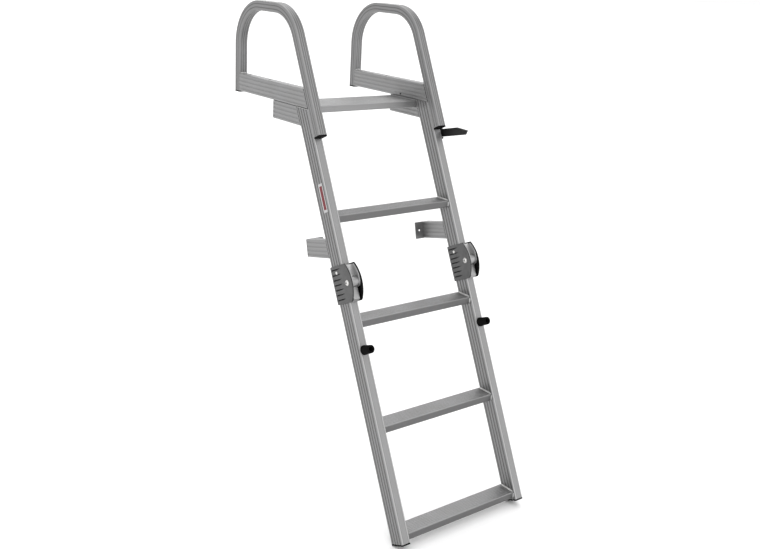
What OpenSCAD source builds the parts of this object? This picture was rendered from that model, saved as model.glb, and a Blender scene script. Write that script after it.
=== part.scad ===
// Folding boat boarding ladder: two welded aluminium rail sections, a hinge stack on each rail,
// bent hand rails on deck bars, stand-off feet, rubber bumpers and a hook latch.
// Millimetres. +Z up, +Y towards the boat, X across. Deck bars and steps are level.

/* [Overall] */
// lean of the rails from the vertical
lean = 25.5; // [22:0.5:28]
// width over the outer faces of the rails
ladder_w = 440; // [400:5:480]
// distance between steps along the rail
step_pitch = 284.5; // [270:0.5:300]
// rail length above the hinge, from the deck bar underside
upper_len = 472; // [460:1:480]
// rail length below the hinge
lower_len = 695.5; // [690:0.5:760]

/* [Rail extrusion] */
// width of the rail tube
rail_w = 27; // [25:0.5:30]
// depth of the rail tube
rail_d = 50; // [48:0.5:54]
// wall of all tubes
wall = 2; // [1.8:0.1:2.5]
// width of a side flute
flute_w = 3.6; // [2.5:0.1:4.5]
// depth of a side flute
flute_h = 0.8; // [0.4:0.1:1]

/* [Steps] */
// depth of a normal step
step_d = 54; // [48:1:58]
// height of a step
step_h = 20; // [18:0.5:22]
// setback of a step's front edge from the rail's front face
step_inset = 3; // [2.6:0.2:6]
// depth of the wide top step
top_step_d = 118; // [100:1:118]

/* [Deck bars and hand rails] */
// from the rail's front face to the back of the rear leg, along the deck
deck_reach = 391; // [370:0.5:410]
// length of the under-deck bracket tube, measured from the rail's front face
bracket_reach = 171; // [170:1:180]
// height of the hand rail's top above the deck bar's underside
handle_h = 261; // [240:1:290]
// thickness of the hand rail tube
handle_t = 27; // [22:0.5:27]
// centreline radius of the hand rail's bends
bend_r = 114; // [60:0.5:120]
// how far the front leg reaches down the rail's front
leg_drop = 78; // [60:1:90]
// distance between the deck bolts of one bar
bolt_pitch = 110; // [80:5:120]
// diameter of a deck bolt hole
bolt_d = 8.5; // [6.5:0.5:10.5]

/* [Hinge] */
// distance of the pivot in front of the rail
pivot_out = 16.5; // [16.4:0.1:17]
// diameter of the pivot bolt
pivot_d = 8; // [6:0.5:9]
// width of the lower half's tongue
knuckle_w = 19.4; // [14:0.2:20]
// height of a cover
cover_h = 102.6; // [96:0.2:108]
// thickness of a cover
cover_t = 4.6; // [3.5:0.1:6]
// number of grip grooves in a cover
cover_grooves = 7; // [5:1:7]

/* [Stand-offs, bumpers and latch] */
// length of a stand-off tube behind the rail
standoff_len = 98; // [80:1:120]
// angle of a stand-off from the rail's normal
standoff_tilt = 12.5; // [8:0.5:16]
// diameter of a stand-off's screw hole
standoff_hole = 6.5; // [5:0.5:8]
// length of a bumper
bumper_l = 32.4; // [24:0.1:32.4]
// diameter of a bumper's base
bumper_d = 26; // [20:0.5:26.5]
// reach of the latch arm in front of the rail
latch_reach = 102; // [100:1:104]
// height of the latch arm
latch_h = 23; // [18:0.5:24]

/* [Hidden] */
$fn = 48;
g = 0.05;                         // face gap between touching pieces
hw = ladder_w / 2;
xc = hw - rail_w / 2;             // centre plane of a rail
xi = hw - rail_w;                 // inner face of a rail
bolt_y = 270;                     // deck bolt centre behind the rail's front face
sa = sin(lean);
ca = cos(lean);
z_piv = -upper_len;
z_foot = z_piv - lower_len;
step2_z = -292.5;
leg_y = -(handle_t / 2 + g);
leg_zc = (handle_h - handle_t / 2 + leg_y * sa) / ca;
leg_yc = leg_y * ca + leg_zc * sa;
turn = 90 - lean;
bend_l = bend_r * tan(turn / 2);
top_z = handle_h - handle_t / 2;
rear_y = deck_reach - handle_t / 2;
knuckle_r = pivot_out - 1;
tongue_r = knuckle_r - 0.6;
tongue_in = 1.5;                  // how far the tongue's front stands in front of the pivot
block_h = 47;                     // height of the upper hinge block above the pivot
fold_gap = 0.5;                   // gap between the two hinge halves when folded
cover_c = 45;                     // radius centre of a cover's front edge, behind the rail's front
cover_r = 80.5;
block_r = cover_r - 1.2;          // the upper block's front follows the covers, a little set back
plate_w = 2 * rail_w + 1;
latch_z = -93.5;
latch_pin_y = 14;
latch_pin_x = 11;

alu = [0.72, 0.73, 0.75];
grey = [0.30, 0.30, 0.31];
black = [0.07, 0.07, 0.07];
steel = [0.80, 0.80, 0.82];

// ---- frames ----
// rail frame: x across, y backwards from the rail's front face, z up along the rail
module on_rail() translate([0, -bolt_y, 0]) rotate([-lean, 0, 0]) children();
// deck frame: y along the deck from the rail's front face, z up from the deck bar's underside
module on_deck() translate([0, -bolt_y, 0]) children();

// ---- 2-D sections ----
module rrect(w, d, r) {
  translate([r, 0]) square([w - 2 * r, d]);
  translate([0, r]) square([w, d - 2 * r]);
  for (x = [r, w - r], y = [r, d - r]) translate([x, y]) circle(r);
}

// rail tube section, x centred, y from 0 to rail_d
module rail2d() difference() {
  translate([-rail_w / 2, 0]) rrect(rail_w, rail_d, 3);
  translate([-rail_w / 2 + wall, wall]) rrect(rail_w - 2 * wall, rail_d - 2 * wall, 1.2);
  for (s = [-1, 1], k = [0:4])
    translate([s * rail_w / 2, rail_d / 2 + (k - 2) * 8]) square([2 * flute_h, flute_w], center = true);
  for (s = [-1, 1], y = [0, rail_d])
    translate([s * (rail_w / 2 - 5.5), y]) square([1.6, 0.8], center = true);
}

module rail_core2d() translate([-rail_w / 2 + wall + 0.1, wall + 0.1])
  rrect(rail_w - 2 * wall - 0.2, rail_d - 2 * wall - 0.2, 1.1);

// hand rail section, centred; e thickens the wall a little, as in a bend
module handle2d(e = 0) difference() {
  translate([-rail_w / 2 - e, -handle_t / 2 - e]) rrect(rail_w + 2 * e, handle_t + 2 * e, 4);
  translate([-rail_w / 2 + wall + e, -handle_t / 2 + wall + e])
    rrect(rail_w - 2 * (wall + e), handle_t - 2 * (wall + e), 2);
  for (s = [-1, 1], k = [-1, 1]) translate([s * rail_w / 2, k * 4])
    square([1.2 - 2 * e, 2.6 - 2 * e], center = true);
  for (s = [-1, 1], k = [-1, 0, 1]) translate([k * 6, s * handle_t / 2])
    square([2.6 - 2 * e, 1.2 - 2 * e], center = true);
}

module handle_core2d() translate([-rail_w / 2 + wall + 0.1, -handle_t / 2 + wall + 0.1])
  rrect(rail_w - 2 * wall - 0.2, handle_t - 2 * wall - 0.2, 1.9);

// step section: y backwards from the front edge, z down from the tread
module step2d(d, cells) difference() {
  translate([0, -step_h]) rrect(d, step_h, 2.5);
  for (k = [0 : cells - 1]) let (c = (d - (cells + 1) * wall) / cells)
    translate([wall + k * (c + wall), -step_h + wall]) rrect(c, step_h - 2 * wall, 1);
  for (k = [1 : floor((d - 6) / 6)]) translate([k * 6 + 1.5, 0]) square([2, 1.2], center = true);
}

module quarter2d(r, sx, sy) intersection() {
  circle(r);
  translate([sx > 0 ? 0.02 : -r - 0.02, sy > 0 ? 0.02 : -r - 0.02]) square([r, r]);
}

// extrusions along the axes: along_x maps section x,y to y,z; along_y maps section x,y to x,z
module along_x(l) rotate([90, 0, 90]) linear_extrude(l) children();
module along_y(l) translate([0, l, 0]) rotate([90, 0, 0]) linear_extrude(l) children();

// ---- rails ----
module rail_upper(s) color(alu) difference() {
  on_rail() translate([s * xc, 0, z_piv + 0.15]) linear_extrude(upper_len + 40) rail2d();
  on_deck() translate([s * xc - 40, -60, -g]) cube([80, 260, 90]);
  on_rail() translate([s * xc - 30, 25, z_piv + 32.7]) rotate([0, 90, 0]) cylinder(h = 60, r = 2.1);
  if (s > 0) on_rail() latch_frame() for (z = [-9, 9])
    translate([-4, 36, z]) rotate([0, 90, 0]) cylinder(h = 6, r = 2.1);
}

module rail_lower(s) color(alu) difference() {
  on_rail() translate([s * xc, 0, z_foot]) linear_extrude(lower_len - 0.15) rail2d();
  on_rail() translate([s * xc, 4, z_piv - 181]) rotate([90, 0, 0]) cylinder(h = 6, r = 2.6);
}

module rail_upper_left() rail_upper(-1);
module rail_upper_right() rail_upper(1);
module rail_lower_left() rail_lower(-1);
module rail_lower_right() rail_lower(1);

module foot_caps() color(black) on_rail() for (s = [-1, 1]) translate([s * xc, 0, z_foot]) {
  difference() {
    translate([0, 0, -4]) linear_extrude(4 - g) translate([-rail_w / 2, 0]) rrect(rail_w, rail_d, 3);
    for (k = [-1, 0, 1]) translate([-rail_w / 2 - 1, rail_d / 2 + k * 14 - 2, -4.5])
      cube([rail_w + 2, 4, 1.6]);
  }
  translate([0, 0, -g - 0.01]) linear_extrude(14) rail_core2d();
}

// ---- steps ----
function step_y(z) = step_inset * ca + z * sa;
function step_z(z) = -step_inset * sa + z * ca;
module step_at(z) color(alu) on_deck() translate([-xi + g, step_y(z), step_z(z)])
  along_x(2 * (xi - g)) step2d(step_d, 2);
module step_2() step_at(step2_z);
module step_3() step_at(step2_z - step_pitch);
module step_4() step_at(step2_z - 2 * step_pitch);
module step_5() step_at(step2_z - 3 * step_pitch);
top_step_y = bracket_reach - 1 - top_step_d;
module step_top() color(alu) on_deck() translate([-xi + g, top_step_y, -2])
  along_x(2 * (xi - g)) step2d(top_step_d, 4);

// ---- deck bars and brackets ----
module deck_bar(s) color(alu) difference() {
  on_deck() translate([s * xc, -20, 0]) along_y(deck_reach - handle_t - g + 20) rail2d();
  on_rail() translate([s * xc - 40, -100 + g, -120]) cube([80, 100, 260]);
  for (y = [-1, 1]) translate([s * xc, y * bolt_pitch / 2, -5]) cylinder(h = 70, d = bolt_d);
  on_deck() translate([s * xi, 205 - 78, 7]) rotate([0, s * -90, 0])
    translate([0, 0, -4]) cylinder(h = 8, r = 3);
}
module deck_bar_left() deck_bar(-1);
module deck_bar_right() deck_bar(1);

module bracket(s) color(alu) difference() {
  on_deck() translate([s * xc, 0, -rail_d - g]) along_y(bracket_reach) rail2d();
  on_rail() translate([s * xc - 40, -150 + rail_d + g, -200]) cube([80, 150, 300]);
}
module bracket_left() bracket(-1);
module bracket_right() bracket(1);
module bracket_end_plates() color(alu) on_deck() for (s = [-1, 1])
  translate([s * xc, bracket_reach + g, -rail_d - g]) {
    along_y(2.5) translate([-rail_w / 2, 0]) rrect(rail_w, rail_d, 3);
    translate([0, -8 - g - 0.01, 0]) along_y(8 + g + 0.5) rail_core2d();
  }

// ---- hand rails ----
// the straight runs reach a little way into the bends, whose wall is slightly thicker
bend_e = 0.04;
run_in = 0.3;
module bend(a) rotate_extrude(angle = a, $fn = 96) translate([bend_r, 0]) rotate(90) handle2d(bend_e);
module handle(s) color(alu) {
  on_deck() {
    translate([s * xc, rear_y, 0]) linear_extrude(top_z - bend_r + run_in) handle2d();
    translate([s * xc, rear_y - bend_r, top_z - bend_r]) rotate([90, 0, 90]) bend(90);
    translate([s * xc, leg_yc + bend_l - run_in, top_z])
      along_y(rear_y - bend_r - leg_yc - bend_l + 2 * run_in) handle2d();
    translate([s * xc, leg_yc + bend_l, top_z - bend_r]) rotate([90, 0, 90]) rotate(90) bend(turn);
  }
  on_rail() translate([s * xc, leg_y, -leg_drop])
    linear_extrude(leg_zc - bend_l + leg_drop + run_in) handle2d();
}
module handle_left() handle(-1);
module handle_right() handle(1);

module tube_cap(t) {
  difference() {
    translate([-rail_w / 2, -handle_t / 2, -t]) linear_extrude(t - g) rrect(rail_w, handle_t, 4);
    translate([-rail_w / 2 - 1, -1.5, -t - 1]) cube([rail_w + 2, 3, 1.8]);
  }
  translate([0, 0, -g - 0.01]) linear_extrude(12) handle_core2d();
}
module handle_end_caps() color(black) on_rail() for (s = [-1, 1])
  translate([s * xc, leg_y, -leg_drop]) tube_cap(4);
module handle_foot_caps() color(black) on_deck() for (s = [-1, 1])
  translate([s * xc, rear_y, 0]) tube_cap(3.5);

// ---- stand-offs ----
module standoff_frame(s) on_rail() translate([s * xc, rail_d, -371])
  rotate([standoff_tilt, 0, 0]) children();
module standoff(s) color(alu) difference() {
  standoff_frame(s) translate([0, -14, -rail_d / 2]) along_y(standoff_len + 14) rail2d();
  on_rail() translate([s * xc - 40, rail_d + g - 60, -460]) cube([80, 60, 180]);
}
module standoff_left() standoff(-1);
module standoff_right() standoff(1);
module standoff_plate(s) color(alu) standoff_frame(s) difference() {
  mirror([s < 0 ? 0 : 1, 0, 0]) translate([-rail_w / 2, standoff_len + g, -rail_d / 2])
    along_y(3) rrect(plate_w, rail_d, 3);
  translate([-s * rail_w, standoff_len - 5, 0]) rotate([-90, 0, 0])
    cylinder(h = 15, d = standoff_hole);
}
module standoff_plate_left() standoff_plate(-1);
module standoff_plate_right() standoff_plate(1);

// ---- hinge stack: y,z relative to the rail's front face and the pivot height ----
module hinge_frame(s) on_rail() translate([s * xc, 0, z_piv]) children();
// two cheeks with a slot between them for the lower tongue, closed behind by a web
module hinge_upper(s) color(alu) hinge_frame(s) difference() {
  translate([-rail_w / 2, 0, 0]) along_x(rail_w) union() {
    translate([-pivot_out, 0]) circle(knuckle_r);
    intersection() {
      translate([cover_c, 0]) circle(block_r, $fn = 96);
      translate([-2 * pivot_out + fold_gap + 0.2, 0.3]) square([2 * pivot_out - fold_gap - 0.2 - g, block_h]);
    }
  }
  translate([-knuckle_w / 2 - 0.3, 0, 0]) along_x(knuckle_w + 0.6) union() {
    translate([-pivot_out, 0]) circle(tongue_r + fold_gap);
    translate([-60, -30]) square([60 - pivot_out + tongue_in + fold_gap, 100]);
    translate([-60, -30]) square([80, 30.3]);
  }
  translate([-rail_w / 2 - 1, -pivot_out, 0]) rotate([0, 90, 0])
    cylinder(h = rail_w + 2, d = pivot_d + 0.04);
}
module hinge_upper_left() hinge_upper(-1);
module hinge_upper_right() hinge_upper(1);

// a tongue round the pivot, and a plate on the rail whose front fits under the folded upper block
module hinge_lower(s) color(alu) hinge_frame(s) difference() {
  union() {
    translate([-knuckle_w / 2, 0, 0]) along_x(knuckle_w) union() {
      translate([-pivot_out, 0]) circle(tongue_r);
      polygon([[-pivot_out - tongue_in, 0], [-pivot_out, -1], [-g, -1], [-g, -52], [-10, -52],
        [-pivot_out - tongue_in, -46]]);
    }
    translate([-rail_w / 2 + 0.5, 0, 0]) along_x(rail_w - 1) difference() {
      translate([-8, -52]) square([8 - g, 35]);
      translate([-2 * pivot_out - cover_c, 0]) circle(block_r + fold_gap, $fn = 96);
    }
  }
  translate([-rail_w / 2 - 1, -pivot_out, 0]) rotate([0, 90, 0])
    cylinder(h = rail_w + 2, d = pivot_d + 0.12);
}
module hinge_lower_left() hinge_lower(-1);
module hinge_lower_right() hinge_lower(1);

// cover section: y from the rail's front face, z from the pivot height
module cover2d(in = 0) intersection() {
  translate([cover_c, 0]) circle(cover_r - in, $fn = 96);
  polygon([[-60, -cover_h / 2 + 7], [-24, -cover_h / 2 + in], [rail_d - 1 - in, -cover_h / 2 + in],
    [rail_d - in, -cover_h / 2 + 1 + in], [rail_d - in, cover_h / 2 - 1 - in],
    [rail_d - 1 - in, cover_h / 2 - in], [-18, cover_h / 2 - in], [-60, cover_h / 2 - 30]]);
}
// the cover lies on the face x = 0 and builds towards +x
module cover_body() difference() {
  union() {
    translate([g, 0, 0]) along_x(cover_t - 1) cover2d();
    translate([cover_t - 1, 0, 0]) along_x(1) cover2d(1.2);
  }
  // clearance over the moving lower rail, and in front where it folds past
  translate([-1, -60, -70]) cube([1.3, 130, 70.3]);
  translate([-1, -60, -70]) cube([1.3, 60, 140]);
  for (k = [0 : cover_grooves - 1])
    translate([cover_t - 1.2, -2, (k - (cover_grooves - 1) / 2) * 13.3 - 1.6]) cube([2, 42, 2.6]);
  translate([-1, -pivot_out, 0]) rotate([0, 90, 0]) cylinder(h = 9, d = pivot_d + 0.1);
  translate([-1, 25, 32.7]) rotate([0, 90, 0]) cylinder(h = 9, r = 2.1);
  translate([cover_t - 1.3, 25, 32.7]) rotate([0, 90, 0]) cylinder(h = 3, r = 5);
}
module cover(s, side) color(side > 0 ? black : grey) hinge_frame(s)
  translate([side * rail_w / 2, 0, 0]) mirror([side < 0 ? 1 : 0, 0, 0]) cover_body();
module cover_left_outer() cover(-1, -1);
module cover_left_inner() cover(-1, 1);
module cover_right_inner() cover(1, -1);
module cover_right_outer() cover(1, 1);

bolt_x0 = -rail_w / 2 - cover_t - g;
bolt_x1 = rail_w / 2 + cover_t + g;
module pivot_bolts() color(steel) for (s = [-1, 1]) hinge_frame(s) translate([0, -pivot_out, 0])
  difference() {
    union() {
      translate([bolt_x0 - 0.01, 0, 0]) rotate([0, 90, 0]) cylinder(h = bolt_x1 - bolt_x0 + 6, d = pivot_d);
      translate([bolt_x0 - 2.6, 0, 0]) rotate([0, 90, 0]) cylinder(h = 2.6, r = 8.5);
      translate([bolt_x0 - 4.6, 0, 0]) rotate([0, 90, 0]) cylinder(h = 2, r1 = 5.5, r2 = 7.4);
    }
    translate([bolt_x0 - 6, 0, 0]) rotate([0, 90, 0]) cylinder(h = 3.4, r = 2.9, $fn = 6);
  }
module pivot_nuts() color(steel) for (s = [-1, 1]) hinge_frame(s)
  translate([bolt_x1 + 0.02, -pivot_out, 0]) rotate([0, 90, 0]) difference() {
    union() {
      cylinder(h = 1.2, r = 8);
      translate([0, 0, 1.2]) cylinder(h = 5, r = 7, $fn = 6);
    }
    translate([0, 0, -1]) cylinder(h = 9, d = pivot_d + 0.06);
  }
module cover_rivets() color(steel) for (s = [-1, 1], side = [-1, 1]) hinge_frame(s)
  translate([side * (rail_w / 2 + cover_t - 1.25), 25, 32.7]) rotate([0, side * 90, 0]) {
    translate([0, 0, -cover_t - 0.6]) cylinder(h = cover_t + 0.7, r = 2);
    cylinder(h = 0.9, r = 4.4);
    translate([0, 0, 0.9]) cylinder(h = 1.1, r1 = 4.4, r2 = 2.6);
  }

// ---- bumpers ----
module bumper(s) color(black) on_rail() translate([s * xc, -g, z_piv - 181]) rotate([90, 0, 0])
  difference() {
    union() {
      cylinder(h = 4, d = bumper_d);
      translate([0, 0, 4]) cylinder(h = bumper_l - 4 - g, r1 = bumper_d / 2 - 0.6, r2 = bumper_d / 2 - 2);
    }
    translate([0, 0, 12]) cylinder(h = 40, r = 6.5);
    translate([0, 0, -1]) cylinder(h = 20, r = 2.6);
  }
module bumper_left() bumper(-1);
module bumper_right() bumper(1);
module bumper_screws() color(steel) for (s = [-1, 1]) on_rail()
  translate([s * xc, 0, z_piv - 181]) rotate([90, 0, 0]) difference() {
    union() {
      translate([0, 0, -8]) cylinder(h = 20.1 - g, r = 2.5);
      translate([0, 0, 12.05]) cylinder(h = 3, r1 = 5.4, r2 = 4.4);
    }
    translate([0, 0, 13.4]) cylinder(h = 4, r = 2, $fn = 6);
  }

// ---- latch: frame on the right rail's outer face, y backwards along the arm ----
module latch_frame() translate([hw, 0, latch_z]) rotate([12.5, 0, 0]) children();
module latch_base() color(black) on_rail() latch_frame() difference() {
  union() {
    translate([g, 2, -17]) cube([3.5, 43, 34]);
    for (z = [-17, latch_h / 2 + 0.4]) translate([0, 0, z]) {
      translate([g, 6, 0]) cube([latch_pin_x, 16, 17 - latch_h / 2 - 0.4]);
      translate([latch_pin_x, latch_pin_y, 0]) cylinder(h = 17 - latch_h / 2 - 0.4, r = 6);
    }
  }
  translate([latch_pin_x, latch_pin_y, -30]) cylinder(h = 60, r = 2.53);
  for (z = [-9, 9]) translate([-4, 36, z]) rotate([0, 90, 0]) cylinder(h = 12, r = 2.1);
}
// side outline of the arm's blade, tapering to the nose
module arm2d() polygon([[latch_pin_y, -latch_h / 2], [latch_pin_y, latch_h / 2], [-58, latch_h / 2],
  [-84, 5], [-latch_reach, 0], [-latch_reach + 9, -latch_h / 2]]);
module latch_arm() color(black) on_rail() latch_frame() difference() {
  union() {
    translate([latch_pin_x, latch_pin_y, -latch_h / 2]) cylinder(h = latch_h, r = 5.4);
    translate([latch_pin_x - 3, 0, 0]) along_x(5) arm2d();
    // hook: a ramp that faces forward and a flat that holds the folded rail
    intersection() {
      translate([0, 0, -latch_h / 2 + 1]) linear_extrude(latch_h)
        polygon([[latch_pin_x - 2, -90], [1, -90], [1, -92], [latch_pin_x - 2, -latch_reach + 2]]);
      translate([-2, 0, 0]) along_x(20) arm2d();
    }
    // stiffening rib
    translate([latch_pin_x + 2, -80, -1.5]) cube([1.6, 84, 3]);
  }
  translate([latch_pin_x, latch_pin_y, -30]) cylinder(h = 60, r = 2.56);
}
module latch_pin() color(steel) on_rail() latch_frame()
  translate([latch_pin_x, latch_pin_y, -18]) {
    cylinder(h = 35.6, r = 2.5);
    translate([0, 0, 35.3]) cylinder(h = 1.4, r = 3.8);
    translate([0, 0, -0.5]) cylinder(h = 0.9, r = 3.6);
  }
module latch_screws() color(steel) on_rail() latch_frame() for (z = [-9, 9])
  translate([0, 36, z]) rotate([0, 90, 0]) difference() {
    union() {
      translate([0, 0, -3.5]) cylinder(h = 7.2, r = 2);
      translate([0, 0, 3.5 + 2 * g]) cylinder(h = 2, r1 = 4.2, r2 = 3.2);
    }
    translate([0, 0, 4.6]) cylinder(h = 3, r = 1.5, $fn = 6);
  }

// ---- weld beads ----
// beads round the end of a step section, at the inner face of both rails
module step_beads(z, d) on_deck() for (s = [-1, 1]) translate([s * xi, step_y(z), step_z(z)]) {
  translate([0, 3, 0]) along_y(d - 8) quarter2d(3, -s, 1);
  translate([0, 6, -step_h]) along_y(d - 12) quarter2d(3, -s, -1);
  translate([0, 0, -step_h + 3]) linear_extrude(step_h - 6) quarter2d(2.4, -s, -1);
}
module weld_beads_upper() color(alu) {
  step_beads(step2_z, step_d);
  on_deck() for (s = [-1, 1]) {
    // wide step to bracket tubes
    translate([s * xi, top_step_y + 4, -2 - step_h]) along_y(top_step_d - 8) quarter2d(3, -s, -1);
    // deck bar to the two legs of the hand rail
    translate([s * xc - 9, deck_reach - handle_t, rail_d]) along_x(18) quarter2d(3, -1, 1);
    difference() {
      translate([s * xc - 9, rail_d * sa / ca, rail_d]) along_x(18) quarter2d(4.5, 1, 1);
      rotate([-lean, 0, 0]) translate([s * xc - 10, -20 + g, 0]) cube([20, 20, 90]);
    }
    // bracket tube to the rail
    translate([s * xc - 9, rail_d / ca - rail_d * sa / ca, -rail_d - g]) along_x(18) quarter2d(3, 1, -1);
  }
}
module weld_beads_lower() color(alu) for (k = [1 : 3]) step_beads(step2_z - k * step_pitch, step_d);

// ---- blank label on the left rail ----
module label() color([0.85, 0.85, 0.87]) on_rail() translate([-hw - 0.35, 8, -277])
  along_x(0.3) rrect(20, 78, 1.5);

rail_upper_left();
rail_upper_right();
rail_lower_left();
rail_lower_right();
step_top();
step_2();
step_3();
step_4();
step_5();
deck_bar_left();
deck_bar_right();
bracket_left();
bracket_right();
bracket_end_plates();
handle_left();
handle_right();
handle_end_caps();
handle_foot_caps();
foot_caps();
standoff_left();
standoff_right();
standoff_plate_left();
standoff_plate_right();
hinge_upper_left();
hinge_upper_right();
hinge_lower_left();
hinge_lower_right();
cover_left_outer();
cover_left_inner();
cover_right_inner();
cover_right_outer();
pivot_bolts();
pivot_nuts();
cover_rivets();
bumper_left();
bumper_right();
bumper_screws();
latch_base();
latch_arm();
latch_pin();
latch_screws();
weld_beads_upper();
weld_beads_lower();
label();
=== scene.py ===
"""Looks of the folding boat boarding ladder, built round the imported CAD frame.

Metres, +Z up, +Y towards the boat, X across. The rails lean, so most places are given in one of two
frames, both with their origin where the deck bars' undersides meet the rails' front faces: the deck frame
(level) and the rail frame (y backwards from the rail's front face, z up along the rail).
"""

import math

import bmesh
import bpy
from mathutils import Matrix, Vector


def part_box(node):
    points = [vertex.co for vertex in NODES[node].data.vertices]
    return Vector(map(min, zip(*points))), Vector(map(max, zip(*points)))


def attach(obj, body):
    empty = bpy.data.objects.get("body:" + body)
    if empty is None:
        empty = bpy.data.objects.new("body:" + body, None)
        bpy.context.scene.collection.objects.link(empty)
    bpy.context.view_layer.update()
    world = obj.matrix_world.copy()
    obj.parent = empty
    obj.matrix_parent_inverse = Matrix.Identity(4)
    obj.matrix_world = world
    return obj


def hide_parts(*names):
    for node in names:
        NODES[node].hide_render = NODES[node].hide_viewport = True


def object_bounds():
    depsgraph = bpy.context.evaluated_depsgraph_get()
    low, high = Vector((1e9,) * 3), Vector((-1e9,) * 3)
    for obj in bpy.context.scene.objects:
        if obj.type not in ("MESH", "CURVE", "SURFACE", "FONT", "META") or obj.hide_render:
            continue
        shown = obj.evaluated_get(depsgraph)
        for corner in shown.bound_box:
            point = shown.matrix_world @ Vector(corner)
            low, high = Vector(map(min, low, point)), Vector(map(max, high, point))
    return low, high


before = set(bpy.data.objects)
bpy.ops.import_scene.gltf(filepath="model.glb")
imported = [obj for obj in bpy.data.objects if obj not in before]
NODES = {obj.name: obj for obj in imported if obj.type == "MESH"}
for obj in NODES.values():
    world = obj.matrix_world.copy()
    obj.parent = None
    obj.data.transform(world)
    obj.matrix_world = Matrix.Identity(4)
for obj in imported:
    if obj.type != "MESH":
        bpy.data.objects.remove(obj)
CAD_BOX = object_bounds()
UPPER, LOWER = "upper_section", "lower_section"
MM = 0.001

# ---------------------------------------- sizes, from the frame where it gives them
rail_lo, rail_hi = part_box("rail_upper_right")
bar_lo, bar_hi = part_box("deck_bar_right")
handle_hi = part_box("handle_right")[1]
bracket_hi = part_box("bracket_right")[1]
LEAN = math.radians(25.5)
SA, CA = math.sin(LEAN), math.cos(LEAN)
GAP = 0.05 * MM                      # joint line between touching pieces
HALF_W = rail_hi.x                   # outer face of a rail
RAIL_W = rail_hi.x - rail_lo.x
RAIL_D = bar_hi.z - bar_lo.z
WALL = 2 * MM                        # wall of the tubes
RAIL_X = HALF_W - RAIL_W / 2         # centre plane of a rail
INNER_X = HALF_W - RAIL_W            # inner face of a rail
DECK_Y = bar_lo.y - GAP / CA         # rail front face at the deck bars' undersides
PIVOT_OUT = 16.5 * MM                # fold pivot in front of the rail, and its height in the rail frame
PIVOT_Z = -472 * MM
FOOT_Z = PIVOT_Z - 695.5 * MM        # lower end of the rails
HINGE_GAP = 0.15 * MM                # from the pivot's height to the rails' ends there
HANDLE_T = 27 * MM                   # thickness of the hand rail tube, and its bends' centre radius
BEND_R = 114 * MM
LEG_DROP = 78 * MM                   # how far a hand rail's front leg reaches down the rail
STANDOFF_Z, STANDOFF_L = -371 * MM, 98 * MM
STANDOFF_TILT = math.radians(12.5)   # from the rail's normal
BOLT_PITCH, BOLT_R = 110 * MM, 4.25 * MM   # the deck bolt holes
COVER_T = 4.6 * MM                   # a hinge cover's thickness, half height, and its front arc
COVER_HALF_H, COVER_R, COVER_C = 51.3 * MM, 80.5 * MM, 45 * MM
RIVET_Y, RIVET_Z = 25 * MM, 32.7 * MM      # a cover's rivet, from the rail's front face and the pivot


def deck(x, y, z):
    """A point of the deck frame, in the row frame."""
    return Vector((x, y + DECK_Y, z))


def rail(x, y, z):
    """A point of the rail frame, in the row frame."""
    return Vector((x, y * CA + z * SA + DECK_Y, -y * SA + z * CA))


RAIL_UP = Vector((0, SA, CA))        # along the rail
RAIL_BACK = Vector((0, CA, -SA))     # across the rail, backwards
X, Y, Z = Vector((1, 0, 0)), Vector((0, 1, 0)), Vector((0, 0, 1))


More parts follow.
